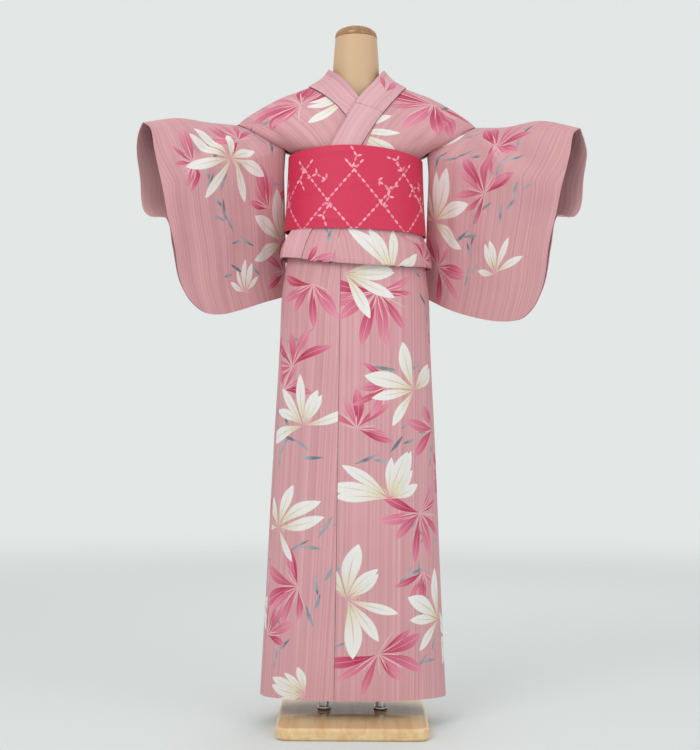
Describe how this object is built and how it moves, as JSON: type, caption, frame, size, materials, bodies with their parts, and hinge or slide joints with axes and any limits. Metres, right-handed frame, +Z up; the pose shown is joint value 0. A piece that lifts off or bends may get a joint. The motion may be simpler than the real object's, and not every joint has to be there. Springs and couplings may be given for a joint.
{
  "type": "cotton yukata robe with sash on a limbless dress form stand",
  "caption": "Cotton yukata robe worn left over right with a half-width sash, filled out on a limbless dress form with a board base; sleeves reach out and forward.",
  "frame": {"origin": "centre of the underside of the stand's board", "axes": "+Z up, the robe faces -Y, +X is the wearer's left"},
  "size_m": [0.9122, 0.4406, 1.497],
  "materials": {
    "cotton_ground": "plain woven printed cotton",
    "cotton_collar": "plain woven striped cotton, doubled",
    "sash_cloth": "smooth woven polyester with a jacquard lattice",
    "board_wood": "lacquered",
    "cap_wood": "lacquered",
    "chrome_steel": "polished",
    "form_skin": "fine matt skin"
  },
  "bodies": {
    "root": {"left_overlap_skirt": "cotton_ground", "left_front_skirt": "cotton_ground", "left_back_skirt": "cotton_ground", "right_back_skirt": "cotton_ground", "right_front_skirt": "cotton_ground", "right_overlap_skirt": "cotton_ground", "left_body_shoulder": "cotton_ground", "right_body_shoulder": "cotton_ground", "left_overlap_upper": "cotton_ground", "right_overlap_upper": "cotton_ground", "left_sleeve": "cotton_ground", "right_sleeve": "cotton_ground", "over_collar": "cotton_collar", "left_collar_end": "cotton_collar", "right_collar_end": "cotton_collar", "sash_band": "sash_cloth", "sash_knot": "sash_cloth", "sash_bow_left": "sash_cloth", "sash_bow_right": "sash_cloth", "stand_board": "board_wood", "neck_cap": "cap_wood", "stand_post_left": "chrome_steel", "stand_post_right": "chrome_steel", "stand_ferrule_left": "chrome_steel", "stand_ferrule_right": "chrome_steel", "sleeve_rod_left": "chrome_steel", "sleeve_rod_right": "chrome_steel", "dress_form": "form_skin"}
  },
  "joints": []
}
